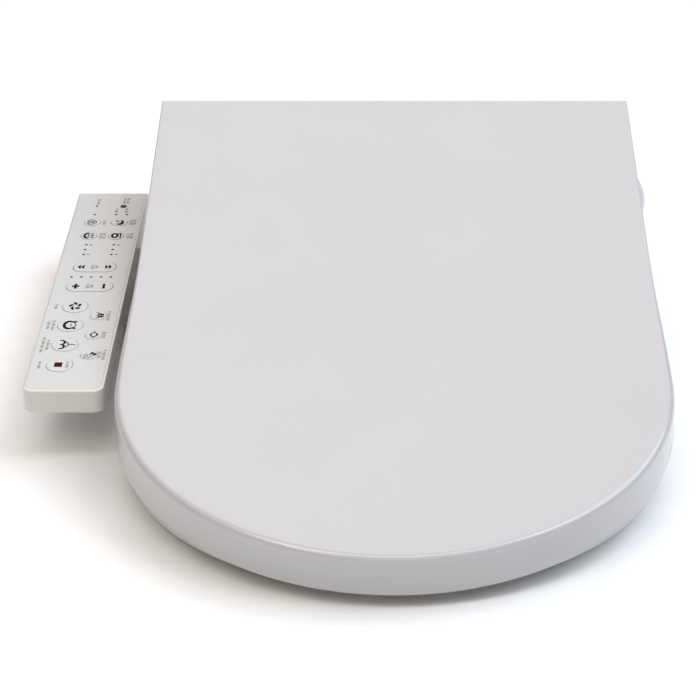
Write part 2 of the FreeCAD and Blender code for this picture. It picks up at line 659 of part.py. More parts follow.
def make_blower_housing():
    x0, x1 = BLOWER_X
    wall = 2.0
    outer = cyl_x(BLOWER_R, x0, x1, BLOWER_Y, BLOWER_Z)
    outer = outer.fuse(box(x0 + 2, x1 - 2, -116, BLOWER_Y, BLOWER_Z - BLOWER_R, 52))
    inner = cyl_x(BLOWER_R - wall, x0 + wall, x1 - wall, BLOWER_Y, BLOWER_Z)
    inner = inner.fuse(box(x0 + 4, x1 - 4, -117, BLOWER_Y, BLOWER_Z - BLOWER_R + wall, 50))
    scroll = outer.cut(inner)
    scroll = scroll.cut([cyl_x(14, x0 - 1, x0 + 3, BLOWER_Y, BLOWER_Z),
                         cyl_x(3, x1 - 3, x1 + 1, BLOWER_Y, BLOWER_Z)])
    save("blower_housing", scroll.removeSplitter())


def make_blower_impeller():
    x0, x1 = BLOWER_X
    back = cyl_x(22, x1 - 6, x1 - 4, BLOWER_Y, BLOWER_Z)
    hub = cyl_x(6, x0 + 6, x1 - 4, BLOWER_Y, BLOWER_Z)
    shaft = cyl_x(2, x0 + 6, x1 + 14, BLOWER_Y, BLOWER_Z)
    blades = []
    for i in range(20):
        blade = box(x0 + 4, x1 - 5, BLOWER_Y + 16, BLOWER_Y + 22, BLOWER_Z - 0.5, BLOWER_Z + 0.5)
        blade.rotate(V(0, BLOWER_Y + 19, BLOWER_Z), V(1, 0, 0), 35)
        blade.rotate(V(0, BLOWER_Y, BLOWER_Z), V(1, 0, 0), i * 18.0)
        blades.append(blade)
    save("blower_impeller", back.fuse([hub, shaft] + blades).removeSplitter())


def make_blower_motor():
    x1 = BLOWER_X[1]
    can = cyl_x(15, x1, x1 + 20, BLOWER_Y, BLOWER_Z)
    save("blower_motor", can.cut(cyl_x(2 + RUNNING_GAP, x1 - 1, x1 + 15, BLOWER_Y, BLOWER_Z)))


def make_dryer_heater():
    x0, x1 = BLOWER_X
    frame = box(x0 + 4.5, x1 - 4.5, -112, -96, 40.5, 49.5)
    gaps = [box(x0 + 5.5, x1 - 5.5, -113, -95, 41.5 + 2.0 * i, 42.7 + 2.0 * i) for i in range(4)]
    save("dryer_heater", frame.cut(gaps))


def make_deodoriser():
    duct = cyl_x(10.5, 94, 118, FILTER_Y, FAN_Z)
    duct = duct.cut(cyl_x(9.5, 93, 119, FILTER_Y, FAN_Z))
    spokes = []
    for i in range(3):
        spoke = box(114, 116, FILTER_Y, FILTER_Y + 10, FAN_Z - 0.8, FAN_Z + 0.8)
        spoke.rotate(V(0, FILTER_Y, FAN_Z), V(1, 0, 0), 30 + i * 120.0)
        spokes.append(spoke)
    duct = duct.fuse(spokes + [cyl_x(4, 112, 116, FILTER_Y, FAN_Z)])
    duct = duct.cut(cyl_x(1 + RUNNING_GAP, 111, 117, FILTER_Y, FAN_Z))
    save("deodoriser_duct", duct.removeSplitter())

    hub = cyl_x(3, 100, 110, FILTER_Y, FAN_Z)
    shaft = cyl_x(1, 108, 116, FILTER_Y, FAN_Z)
    blades = []
    for i in range(5):
        blade = box(101, 109, FILTER_Y + 2, FILTER_Y + 9, FAN_Z - 0.5, FAN_Z + 0.5)
        blade.rotate(V(105, FILTER_Y, FAN_Z), V(0, 1, 0), 40)
        blade.rotate(V(0, FILTER_Y, FAN_Z), V(1, 0, 0), i * 72.0)
        blades.append(blade)
    save("deodoriser_fan", hub.fuse([shaft] + blades).removeSplitter())


def make_carbon_filter():
    y0, y1 = FILTER_Y - 10.4, FILTER_Y + 10.4
    cell = box(122, HOUSE_HALF + 0.5, y0, y1, FILTER_LOW, FILTER_HIGH)
    windows = [box(126 + 8 * i, 131 + 8 * i, y0 - 1, y1 + 1, FILTER_LOW + 3, FILTER_HIGH - 3)
               for i in range(5)]
    cap = box(HOUSE_HALF + 0.4, HOUSE_HALF + 2.6, FILTER_Y - 12.4, FILTER_Y + 12.4,
              FILTER_LOW - 1.4, FILTER_HIGH + 1.4)
    middle = (FILTER_LOW + FILTER_HIGH) / 2
    grip = box(HOUSE_HALF + 2.5, HOUSE_HALF + 5, FILTER_Y - 8, FILTER_Y + 8, middle - 1, middle + 1)
    save("carbon_filter", cell.cut(windows).fuse([cap, grip]).removeSplitter())


# ---------------------------------------------------------------- electrics

def make_boards():
    board = box(-166, -119, -76, 0, 14, 15.6)
    chips = [box(-160 + 13 * i, -152 + 13 * i, -60 + 17 * j, -50 + 17 * j, 15.6, 19 + 2 * ((i + j) % 3))
             for i in range(3) for j in range(3)]
    save("main_board", board.fuse(chips).removeSplitter())
    save("power_module", rounded_plan(-165, -122, -62, -2, 27, 52, 4))
    arm_board = box(ARM_LEFT + 5, ARM_RIGHT - 6, ARM_FRONT + 8, ARM_REAR - 8, BOARD_TOP - 1.6, BOARD_TOP)
    save("arm_board", arm_board)


def make_cable_gland():
    collar = cyl_x(8.5, HOUSE_HALF + EPS, HOUSE_HALF + 4, GLAND_Y, INLET_Z)
    nose = Part.makeCone(7.0, 5.2, 12, V(HOUSE_HALF + 4, GLAND_Y, INLET_Z), V(1, 0, 0))
    neck = cyl_x(5.9, HOUSE_HALF - 6, HOUSE_HALF + 4, GLAND_Y, INLET_Z)
    gland = collar.fuse([nose, neck]).removeSplitter()
    save("cable_gland", gland.cut(cyl_x(3.6, HOUSE_HALF - 7, HOUSE_HALF + 17, GLAND_Y, INLET_Z)))


def make_dampers():
    body = cyl_x(13, 120, 148, HINGE_Y, HINGE_Z)
    flat = box(122, 146, HINGE_Y - 5, HINGE_Y + 5, HINGE_Z - 18, HINGE_Z - 10)
    socket = cyl_x(PIN_R + 2, 146, 156, HINGE_Y, HINGE_Z).cut(cyl_x(PIN_R, 149, 157, HINGE_Y, HINGE_Z))
    save("hinge_dampers", *both_sides(body.fuse([flat, socket]).removeSplitter()))


# ---------------------------------------------------------------- control arm

BIG_KEYS = ["key_dry", "key_front_wash", "key_rear_wash", "key_stop"]
SIDE_KEYS = ["key_child", "key_pulse", "key_turbo"]
REAR_KEYS = {"key_night_light": (COLUMN_A, -30.6), "key_eco": (COLUMN_B, -30.6),
             "key_water_temp": (COLUMN_A, -54.0), "key_seat_temp": (COLUMN_B, -54.0)}
ROCKERS = {"rocker_position": (-106.2, 16.2), "rocker_pressure": (-137.0, 17.4)}
WINDOW = (COLUMN_B, -2.0)


def key_table():
    """Name, centre and cap radius of every round key."""
    keys = [(name, BIG_COLUMN, BIG_ROW - i * BIG_PITCH, BIG_KEY_R) for i, name in enumerate(BIG_KEYS)]
    keys += [(name, SIDE_COLUMN, BIG_ROW - (i + 0.5) * BIG_PITCH, SMALL_KEY_R)
             for i, name in enumerate(SIDE_KEYS)]
    keys += [(name, x, y, SMALL_KEY_R) for name, (x, y) in REAR_KEYS.items()]
    return keys


def lamp_places():
    places = [(COLUMN_A, -1.2), (COLUMN_A, -16.6), (-222.5, -16.6), (-213.8, -16.6)]
    places += [(x, -69.0 - 8.1 * i) for x in (COLUMN_A, COLUMN_B) for i in range(3)]
    places += [(ROCKER_X - 0.7 + 7.45 * i, -121.9) for i in range(-2, 3)]
    return places


def arm_side(raise_by):
    """The arm's side outline: thin at the front, deep where it joins the housing."""
    low = ARM_ROOT_BOTTOM + raise_by
    nose = ARM_NOSE_BOTTOM + raise_by
    points = [(ARM_FRONT, ARM_TOP + 1), (ARM_FRONT, nose), (-125, nose - 4), (-104, low),
              (-26, low), (ARM_REAR, low + 20), (ARM_REAR, ARM_TOP + 1)]
    return prism_x(points, ARM_LEFT, ARM_RIGHT)


def make_arm_base():
    outer = arm_plan(ARM_LEFT, ARM_RIGHT, ARM_FRONT, ARM_REAR, 0, ARM_TOP, 8)
    outer = outer.common(arm_side(0))
    crown = [e for e in outer.Edges if e.BoundBox.ZMin > ARM_TOP - EPS]
    outer = outer.makeFillet(0.9, crown)
    hollow = rounded_plan(ARM_LEFT + ARM_WALL, ARM_RIGHT - 3.1, ARM_FRONT + 5, ARM_REAR - ARM_WALL,
                          0, ARM_TOP - PLATE_THICK, 5).common(arm_side(ARM_WALL))
    seat = arm_plan(ARM_LEFT + 1.2, ARM_RIGHT - 1.8, ARM_FRONT + 3.6, ARM_REAR - 1.4,
                    ARM_TOP - PLATE_THICK, ARM_TOP + 2, 6.5)
    bridge = box(ARM_RIGHT - 4, -HOUSE_HALF, -98, -32, 10, 38)
    duct = box(ARM_RIGHT - 6, -HOUSE_HALF + 1, -94, -36, 13, 35)
    casing = outer.fuse(bridge).cut([hollow, seat, duct])
    save("arm_base", casing.removeSplitter())


def make_face_plate():
    gap = PLATE_GAP
    plate = arm_plan(ARM_LEFT + 1.2 + gap, ARM_RIGHT - 1.8 - gap, ARM_FRONT + 3.6 + gap,
                     ARM_REAR - 1.4 - gap, ARM_TOP - PLATE_THICK, ARM_TOP, 6.3)
    holes = [cyl_z(r + KEY_GAP, 0, 80, x, y) for name, x, y, r in key_table()]
    holes += [slot_solid(ROCKER_X, y, half + 0.4, ROCKER_HALF_WIDTH + 0.4, 0, 80)
              for y, half in ROCKERS.values()]
    holes += [cyl_z(1.05, 0, 80, x, y) for x, y in lamp_places()]
    holes.append(cyl_z(2.55, 0, 80, *WINDOW))
    save("arm_face_plate", plate.cut(holes))


def make_keys():
    top = ARM_TOP + KEY_PROUD
    under = ARM_TOP - PLATE_THICK - 0.6
    for name, x, y, r in key_table():
        cap = cyl_z(r, under - 0.5, top, x, y)
        rim = [e for e in cap.Edges if e.BoundBox.ZMin > top - EPS]
        cap = cap.makeFillet(KEY_EDGE_R, rim)
        flange = cyl_z(r + 1.2, under - 1.4, under, x, y)
        stem = cyl_z(2.0, BOARD_TOP + 1.4, under - 1, x, y)
        save(name, cap.fuse([flange, stem]).removeSplitter())


def make_rockers():
    top = ARM_TOP + KEY_PROUD
    for name, (y, half) in ROCKERS.items():
        cap = slot_solid(ROCKER_X, y, half, ROCKER_HALF_WIDTH, top - 2.8, top)
        rim = [e for e in cap.Edges if e.BoundBox.ZMin > top - EPS]
        cap = cap.makeFillet(KEY_EDGE_R, rim)
        web = box(ROCKER_X - 1.5, ROCKER_X + 1.5, y - 5, y + 5, top - 5.2, top - 2)
        pivot = cyl_y(1.5, y - 7, y + 7, ROCKER_X, top - 5)
        save(name, cap.fuse([web, pivot]).removeSplitter())


def make_lamps_and_window():
    lamps = [cyl_z(1.0, ARM_TOP - PLATE_THICK - 1, ARM_TOP + 0.1, x, y) for x, y in lamp_places()]
    save("arm_lamps", *lamps)
    save("sensor_window", cyl_z(2.5, ARM_TOP - PLATE_THICK - 1, ARM_TOP + 0.2, *WINDOW))


# ---------------------------------------------------------------- build

make_lid()
make_lid_bumpers()
make_hinge_caps()
make_hinge_pins()
make_seat()
make_seat_heater()
make_seat_sensor()
make_seat_bumpers()
make_housing()
make_cover_screws()
make_rubber_feet()
make_bracket()
make_release_button()
make_night_light()
make_dryer_grille()
make_water_inlet()
make_inlet_filter()
make_solenoid_valve()
make_heater_tank()
make_flow_selector()
make_wand("rear_nozzle", NOZZLE_X)
make_wand("front_nozzle", -NOZZLE_X)
make_drive_gear("rear_drive_gear", 1)
make_drive_gear("front_drive_gear", -1)
make_nozzle_motors()
make_nozzle_guide()
make_blower_housing()
make_blower_impeller()
make_blower_motor()
make_dryer_heater()
make_deodoriser()
make_carbon_filter()
make_boards()
make_cable_gland()
make_dampers()
make_arm_base()
make_face_plate()
make_keys()
make_rockers()
make_lamps_and_window()
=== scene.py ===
import json
import math

import bmesh
import bpy
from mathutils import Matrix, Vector


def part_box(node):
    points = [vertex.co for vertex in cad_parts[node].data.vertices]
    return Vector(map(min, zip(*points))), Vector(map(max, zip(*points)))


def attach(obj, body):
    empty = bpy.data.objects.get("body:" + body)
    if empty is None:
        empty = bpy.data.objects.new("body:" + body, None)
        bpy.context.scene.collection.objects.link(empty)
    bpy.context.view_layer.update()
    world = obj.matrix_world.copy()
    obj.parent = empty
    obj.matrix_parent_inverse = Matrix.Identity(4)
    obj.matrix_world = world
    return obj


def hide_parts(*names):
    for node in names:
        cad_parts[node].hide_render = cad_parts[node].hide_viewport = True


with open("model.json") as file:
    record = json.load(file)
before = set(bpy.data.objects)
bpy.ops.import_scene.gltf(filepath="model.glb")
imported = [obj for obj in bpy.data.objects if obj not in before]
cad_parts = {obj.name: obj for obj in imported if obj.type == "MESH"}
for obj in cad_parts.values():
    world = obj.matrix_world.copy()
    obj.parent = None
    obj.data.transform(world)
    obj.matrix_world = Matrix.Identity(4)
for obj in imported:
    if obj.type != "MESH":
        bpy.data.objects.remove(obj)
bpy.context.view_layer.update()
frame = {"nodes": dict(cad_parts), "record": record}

MM = 0.001

# The lid's sloping frame, read from the CAD model
LID_SLOPE = math.radians(10)
LID_LIP = 8 * MM
LID_RIM = 33 * MM
LID_EDGE = 5 * MM
LID_REAR_EDGE = 1.5 * MM
LID_LOW, LID_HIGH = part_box("lid_shell")
LID_REAR_Y = LID_HIGH[1] - LID_RIM * math.sin(LID_SLOPE)
LID_REAR_Z = LID_HIGH[2]
LID_HALF = LID_HIGH[0]
LID_REACH = LID_REAR_Y - LID_LOW[1] - LID_EDGE * (1 - math.sin(LID_SLOPE))
LID_LENGTH = LID_REACH / math.cos(LID_SLOPE) + LID_EDGE
LID_NOSE = 168 * MM
LID_STRAIGHT = LID_LENGTH - LID_NOSE
LID_PLATE = 4 * MM
LID_WALL = 4 * MM

# Distances from the lid's edge inwards or from its rear edge forwards: the rise of its middle, the lean of its
# rim, where its crisp edge turns soft, and how much its sides draw in behind the widest part
LID_CROWN = 0.5 * MM
CROWN_REACH = 150 * MM
LID_FLARE = 2.0 * MM
FLARE_START = 200 * MM
FLARE_RUN = 150 * MM
SOFT_START = 180 * MM
SOFT_RUN = 200 * MM
REAR_DROP = 2.9 * MM
WAIST_DROP = 3.5 * MM
HIP_START = 195 * MM

# Hinge line, from the CAD pins, and the ears that carry it
PIN_LOW, PIN_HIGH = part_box("hinge_pins")
HINGE_Y = (PIN_LOW[1] + PIN_HIGH[1]) / 2
HINGE_Z = (PIN_LOW[2] + PIN_HIGH[2]) / 2
EAR_R = 16 * MM
EAR_SPREAD = 36 * MM
CHEEK_DEPTH = 10 * MM

# Control arm
PLATE_LOW, PLATE_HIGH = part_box("arm_face_plate")
PLATE_TOP = PLATE_HIGH[2]

# Printed legends: film thickness, the gap under the film, and how bold the strokes are
PRINT = 0.05 * MM
LIFT = 0.015 * MM
STROKE_WEIGHT = 1.12

# Stage: half the floor's side in metres, its depth under the feet, and degrees below the horizon
FLOOR_REACH = 40.0
FLOOR_DROP = 0.4 * MM
CAMERA_TILT = 30.2


# ---------------------------------------------------------------- node materials

def link(tree, out_node, out_name, in_node, in_name):
    tree.links.new(out_node.outputs[out_name], in_node.inputs[in_name])


def noise(tree, coords, scale, detail, rough=0.5):
    node = tree.nodes.new("ShaderNodeTexNoise")
    node.inputs["Scale"].default_value = scale
    node.inputs["Detail"].default_value = detail
    node.inputs["Roughness"].default_value = rough
    link(tree, coords, "Object", node, "Vector")
    return node


def ramp(tree, source, low, high):
    """Turns a pattern into two colours or two grey levels, blended between them."""
    node = tree.nodes.new("ShaderNodeValToRGB")
    for stop, place, shade in zip(node.color_ramp.elements, (0.35, 0.65), (low, high)):
        stop.position = place
        stop.color = (*shade, 1) if isinstance(shade, tuple) else (shade, shade, shade, 1)
    link(tree, source, "Fac", node, "Fac")
    return node


def base_material(name):
    mat = bpy.data.materials.new(name)
    mat.use_nodes = True
    tree = mat.node_tree
    coords = tree.nodes.new("ShaderNodeTexCoord")
    return mat, tree, tree.nodes["Principled BSDF"], coords


def tinted(color, amount):
    return tuple(max(0.0, min(1.0, c * amount)) for c in color)


def relieved(tree, shader, pattern, strength, depth):
    """Fine surface relief from a noise pattern."""
    relief = tree.nodes.new("ShaderNodeBump")
    relief.inputs["Strength"].default_value = strength
    relief.inputs["Distance"].default_value = depth
    link(tree, pattern, "Fac", relief, "Height")
    link(tree, relief, "Normal", shader, "Normal")


def moulded(name, color, roughness, coat=0.0, bump=0.06, spread=0.012, coat_rough=0.12):
    """Injection-moulded plastic: faint colour drift, fine orange-peel and uneven gloss."""
    mat, tree, shader, coords = base_material(name)
    drift = noise(tree, coords, 9, 4)
    tone = ramp(tree, drift, tinted(color, 1 - spread), tinted(color, 1 + spread))
    link(tree, tone, "Color", shader, "Base Color")
    gloss = noise(tree, coords, 25, 3)
    polish = ramp(tree, gloss, roughness * 0.96, roughness * 1.05)
    link(tree, polish, "Color", shader, "Roughness")
    peel = noise(tree, coords, 900, 3, 0.55)
    relieved(tree, shader, peel, bump, 0.2 * MM)
    shader.inputs["Coat Weight"].default_value = coat
    shader.inputs["Coat Roughness"].default_value = coat_rough
    return mat


def metal(name, color, roughness, streak=400.0):
    """Plain metal with fine drawn streaks along X."""
    mat, tree, shader, coords = base_material(name)
    stretch = tree.nodes.new("ShaderNodeMapping")
    stretch.inputs["Scale"].default_value = (0.05, 1, 1)
    link(tree, coords, "Object", stretch, "Vector")
    lines = tree.nodes.new("ShaderNodeTexNoise")
    lines.inputs["Scale"].default_value = streak
    lines.inputs["Detail"].default_value = 4
    link(tree, stretch, "Vector", lines, "Vector")
    tone = ramp(tree, lines, tinted(color, 0.88), tinted(color, 1.08))
    link(tree, tone, "Color", shader, "Base Color")
    polish = ramp(tree, lines, roughness * 0.75, roughness * 1.3)
    link(tree, polish, "Color", shader, "Roughness")
    shader.inputs["Metallic"].default_value = 1.0
    return mat


def rubber(name, color):
    """Matt rubber with a gritty surface."""
    mat, tree, shader, coords = base_material(name)
    grit = noise(tree, coords, 700, 6, 0.7)
    tone = ramp(tree, grit, tinted(color, 0.9), tinted(color, 1.08))
    link(tree, tone, "Color", shader, "Base Color")
    polish = ramp(tree, grit, 0.62, 0.82)
    link(tree, polish, "Color", shader, "Roughness")
    relieved(tree, shader, grit, 0.25, 0.3 * MM)
    return mat


def board_green(name):
    """Circuit board: solder mask with a faint copper pattern showing through."""
    mat, tree, shader, coords = base_material(name)
    cells = tree.nodes.new("ShaderNodeTexBrick")
    cells.inputs["Scale"].default_value = 60
    cells.inputs["Mortar Size"].default_value = 0.03
    cells.inputs["Color1"].default_value = (0.02, 0.16, 0.07, 1)
    cells.inputs["Color2"].default_value = (0.03, 0.2, 0.09, 1)
    cells.inputs["Mortar"].default_value = (0.05, 0.3, 0.14, 1)
    link(tree, coords, "Object", cells, "Vector")
    link(tree, cells, "Color", shader, "Base Color")
    shader.inputs["Roughness"].default_value = 0.35
    return mat


def lens(name, color, roughness, transmission=0.0):
    """Tinted clear plastic with a slight haze."""
    mat, tree, shader, coords = base_material(name)
    haze = noise(tree, coords, 240, 3)
    tone = ramp(tree, haze, tinted(color, 0.85), tinted(color, 1.15))
    link(tree, tone, "Color", shader, "Base Color")
    polish = ramp(tree, haze, roughness * 0.8, roughness * 1.25)
    link(tree, polish, "Color", shader, "Roughness")
    shader.inputs["Transmission Weight"].default_value = transmission
    shader.inputs["Specular IOR Level"].default_value = 0.06
    return mat


def ink(name, color):
    """Screen-printed legend: flat ink with a slightly uneven density."""
    mat, tree, shader, coords = base_material(name)
    density = noise(tree, coords, 1500, 4, 0.7)
    tone = ramp(tree, density, tinted(color, 0.8), tinted(color, 1.25))
    link(tree, tone, "Color", shader, "Base Color")
    polish = ramp(tree, density, 0.5, 0.7)
    link(tree, polish, "Color", shader, "Roughness")
    shader.inputs["Specular IOR Level"].default_value = 0.06
    return mat


MATERIALS = {
    "lid_white": moulded("lid_white", (0.447, 0.437, 0.450), 0.36, coat=0.8, coat_rough=0.1, spread=0.008),
    "seat_white": moulded("seat_white", (0.56, 0.55, 0.545), 0.3, coat=0.3, coat_rough=0.12, bump=0.03),
    "housing_white": moulded("housing_white", (0.55, 0.54, 0.53), 0.42, bump=0.1),
    "arm_casing": moulded("arm_casing", (0.565, 0.555, 0.53), 0.34, coat=0.2, coat_rough=0.18),
    "arm_plate": moulded("arm_plate", (0.512, 0.512, 0.507), 0.38, bump=0.1, coat=0.15, coat_rough=0.25),
    "key_plastic": moulded("key_plastic", (0.52, 0.52, 0.515), 0.34, bump=0.05),
    "nozzle_white": moulded("nozzle_white", (0.78, 0.78, 0.78), 0.2, coat=0.5, coat_rough=0.06),
    "inner_plastic": moulded("inner_plastic", (0.12, 0.125, 0.13), 0.5, bump=0.2, spread=0.06),
    "soft_rubber": rubber("soft_rubber", (0.30, 0.30, 0.29)),
    "steel": metal("steel", (0.62, 0.62, 0.64), 0.28),
    "motor_can": metal("motor_can", (0.5, 0.5, 0.52), 0.35),
    "fitting_metal": metal("fitting_metal", (0.8, 0.8, 0.82), 0.16),
    "heater_foil": metal("heater_foil", (0.75, 0.75, 0.76), 0.4, streak=150.0),
    "circuit_board": board_green("circuit_board"),
    "lamp_lens": lens("lamp_lens", (0.012, 0.012, 0.012), 0.4),
    "dark_lens": lens("dark_lens", (0.012, 0.004, 0.006), 0.15),
    "frosted_lens": lens("frosted_lens", (0.75, 0.78, 0.82), 0.35, transmission=0.6),
}
INK = ink("legend_ink", (0.008, 0.008, 0.009))
SOFT_INK = ink("label_ink", (0.11, 0.11, 0.11))
STOP_INK = ink("stop_ink", (0.055, 0.001, 0.007))
SLOTS = {row["node"]: row["material_slot"] for row in frame["record"]["subparts"]}


# ---------------------------------------------------------------- mesh helpers

def finish_mesh(name, bm, material, sharp=35.0):
    """A smooth-shaded object with creases over the sharp angle, in degrees."""
    bmesh.ops.recalc_face_normals(bm, faces=bm.faces)
    mesh = bpy.data.meshes.new(name)
    bm.to_mesh(mesh)
    bm.free()
    mesh.shade_smooth()
    mesh.set_sharp_from_angle(angle=math.radians(sharp))
    obj = bpy.data.objects.new(name, mesh)
    bpy.context.scene.collection.objects.link(obj)
    mesh.materials.append(material)
    return obj


def loft(bm, rings, closed=False):
    """Joins rings of equal length into quads; each ring is a list of points."""
    made = [[bm.verts.new(p) for p in ring] for ring in rings]
    pairs = list(zip(made, made[1:]))
    if closed:
        pairs.append((made[-1], made[0]))
    for a, b in pairs:
        for i in range(len(a)):
            j = (i + 1) % len(a)
            bm.faces.new((a[i], a[j], b[j], b[i]))
    return made


def eased(t):
    t = max(0.0, min(1.0, t))
    return t * t * (3 - 2 * t)


# ---------------------------------------------------------------- lid

def lid_half_width(back):
    """Half the lid's width at this distance from its rear edge."""
    waist = LID_HALF - WAIST_DROP + (WAIST_DROP - REAR_DROP) * (1 - eased(back / HIP_START))
    return waist + (LID_HALF - waist) * eased((back - HIP_START) / (LID_STRAIGHT - HIP_START)) ** 1.3


def spaced(start, stop, count, crowd=0.0):
    """Evenly spaced values; crowd draws them towards both ends."""
    values = []
    for i in range(count):
        t = i / (count - 1)
        t = t * (1 - crowd) + crowd * (0.5 - 0.5 * math.cos(math.pi * t))
        values.append(start + (stop - start) * t)
    return values


def lid_outline(side_inset, rear_inset):
    """Points (x, distance back from the rear edge, on_rear_edge), once round the lid.

    side_inset gives the inset at each distance back, so it can change along the sides.
    """
    points = []
    corner = lid_half_width(0) - side_inset(rear_inset)
    for x in spaced(-corner + 0.25 * MM, corner - 0.25 * MM, 40, 0.6):
        points.append((x, rear_inset, True))
    for t in spaced(0.0, 1.0, 90):
        back = rear_inset + t * (LID_STRAIGHT - rear_inset)
        points.append((lid_half_width(back) - side_inset(back), back, False))
    for a in spaced(0.0, math.pi, 98)[1:-1]:
        inset = side_inset(LID_STRAIGHT + LID_NOSE * math.sin(a))
        points.append(((LID_HALF - inset) * math.cos(a),
                       LID_STRAIGHT + (LID_NOSE - inset) * math.sin(a), False))
    for t in spaced(1.0, 0.0, 90):
        back = rear_inset + t * (LID_STRAIGHT - rear_inset)
        points.append((side_inset(back) - lid_half_width(back), back, False))
    return points


def lid_point(x, back, drop):
    """From the lid's sloping frame to the CAD frame; drop is measured down from its top plane.

    The rim leans out a little towards its foot around the widest part.
    """
    lean = LID_FLARE * drop / LID_RIM * (abs(x) / LID_HALF) ** 4 * eased((back - FLARE_START) / FLARE_RUN)
    x += math.copysign(lean, x)
    c = math.cos(LID_SLOPE)
    s = math.sin(LID_SLOPE)
    return Vector((x, LID_REAR_Y - back * c + drop * s, LID_REAR_Z - back * s - drop * c))


def hinge_in_lid():
    """The hinge line in the lid's sloping frame: distance back, and drop."""
    dy = HINGE_Y - LID_REAR_Y
    dz = HINGE_Z - LID_REAR_Z
    c = math.cos(LID_SLOPE)
    s = math.sin(LID_SLOPE)
    return -(dy * c + dz * s), -(dz * c - dy * s)


def rim_depth(x, back, on_rear):
    """How far the rim hangs down: shallow along the rear, with an ear at each hinge."""
    if on_rear:
        return LID_LIP
    ear_back, ear_drop = hinge_in_lid()
    away = abs(back - ear_back)
    if away > EAR_SPREAD or abs(x) < LID_HALF - CHEEK_DEPTH:
        return LID_RIM
    tangent = EAR_R * 0.75
    edge = ear_drop + math.sqrt(EAR_R ** 2 - tangent ** 2)
    if away < tangent:
        return ear_drop + math.sqrt(EAR_R ** 2 - away ** 2)
    return LID_RIM + (edge - LID_RIM) * (1 - eased((away - tangent) / (EAR_SPREAD - tangent)))


def lid_ring(inset, drop_of):
    """One ring of the lid's skin, at one inset all round."""
    return [lid_point(x, back, drop_of(x, back, on_rear))
            for x, back, on_rear in lid_outline(lambda back: inset, inset)]


def crown(inset):
    """The top plane rises a little from its edge to its middle."""
    return -LID_CROWN * eased(inset / CROWN_REACH)


def edge_radius(back):
    """The top edge is crisp along the rear half and softens round the nose."""
    return LID_REAR_EDGE + (LID_EDGE - LID_REAR_EDGE) * eased((back - SOFT_START) / SOFT_RUN)


def lid_edge_rings(steps):
    """The rounding between the lid's top and its rim."""
    rings = []
    for k in range(steps + 1):
        a = math.radians(90 * k / steps)
        inward = 1 - math.sin(a)
        down = 1 - math.cos(a)
        outline = lid_outline(lambda back: edge_radius(back) * inward, LID_REAR_EDGE * inward)
        rings.append([lid_point(x, back, down * (LID_REAR_EDGE if on_rear else edge_radius(back)))
                      for x, back, on_rear in outline])
    return rings


def make_lid():
    """Rings from the middle of the top, over the edge, round the rim's foot and across the underside."""
    foot = 1.3 * MM
    inner = 3.0 * MM
    rings = []
    for inset in (150, 120, 90, 60, 35, 18, 9):
        rings.append(lid_ring(inset * MM, lambda x, back, rear: crown(inset * MM)))
    rings += lid_edge_rings(10)
    rings.append(lid_ring(0, lambda x, back, rear: (LID_LIP if rear else LID_RIM) * 0.6))
    for k in range(5):
        a = math.radians(90 * k / 4)
        up = foot * (1 - math.sin(a))
        rings.append(lid_ring(foot * (1 - math.cos(a)), lambda x, back, rear: rim_depth(x, back, rear) - up))
    for k in range(5):
        a = math.radians(90 * k / 4)
        up = foot * (1 - math.cos(a))
        inset = LID_WALL - foot * (1 - math.sin(a))
        rings.append(lid_ring(inset, lambda x, back, rear: rim_depth(x, back, rear) - up))
    for k in range(6):
        a = math.radians(90 * k / 5)
        drop = LID_PLATE + inner * (1 - math.sin(a))
        rings.append(lid_ring(LID_WALL + inner * (1 - math.cos(a)), lambda x, back, rear: drop))
    for inset in (12, 40, 90, 150):
        rings.append(lid_ring(inset * MM, lambda x, back, rear: LID_PLATE))
    bm = bmesh.new()
    made = loft(bm, rings)
    bm.faces.new(made[0])
    bm.faces.new(made[-1])
    lid = finish_mesh("lid_moulding", bm, MATERIALS["lid_white"], 40)
    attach(lid, "lid")
    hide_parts("lid_shell")


# ---------------------------------------------------------------- hinge caps

def make_cap(name, node, side, profile):
    """A lathe-turned cap on the lid's cheek; profile is (distance out, radius)."""
    low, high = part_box(node)
    base = low[0] if side > 0 else high[0]
    y = (low[1] + high[1]) / 2
    z = (low[2] + high[2]) / 2
    steps = 72
    rings = []
    for out, radius in profile:
        ring = []
        for i in range(steps):
            a = 2 * math.pi * i / steps
            ring.append(Vector((base + side * out, y + radius * math.cos(a), z + radius * math.sin(a))))
        rings.append(ring)
    bm = bmesh.new()
    made = loft(bm, rings)
    bm.faces.new(made[0])
    bm.faces.new(made[-1])
    cap = finish_mesh(name, bm, MATERIALS["lid_white"], 50)
    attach(cap, "lid")
    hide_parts(node)


def dome_profile(radius, height, foot, steps):
    """A low dome that leaves its base through a short upright foot."""
    ball = (radius ** 2 + (height - foot) ** 2) / (2 * (height - foot))
    limit = math.asin(min(1.0, radius / ball))
    profile = [(0.0, radius - 0.3 * MM), (0.3 * MM, radius), (foot * 0.8, radius)]
    for k in range(steps):
        a = limit * (1 - k / steps)
        profile.append((foot + ball * math.cos(a) - (ball - (height - foot)), ball * math.sin(a)))
    profile.append((height, 0.4 * MM))
    return profile


def make_hinge_caps():
    for name, node, side, foot, steps in (("hinge_dome", "hinge_cap_right", 1, 1.5 * MM, 14),
                                          ("hinge_disc", "hinge_cap_left", -1, 2.0 * MM, 8)):
        low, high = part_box(node)
        radius = (high[1] - low[1]) / 2
        make_cap(name, node, side, dome_profile(radius, high[0] - low[0], foot, steps))


# ---------------------------------------------------------------- legends

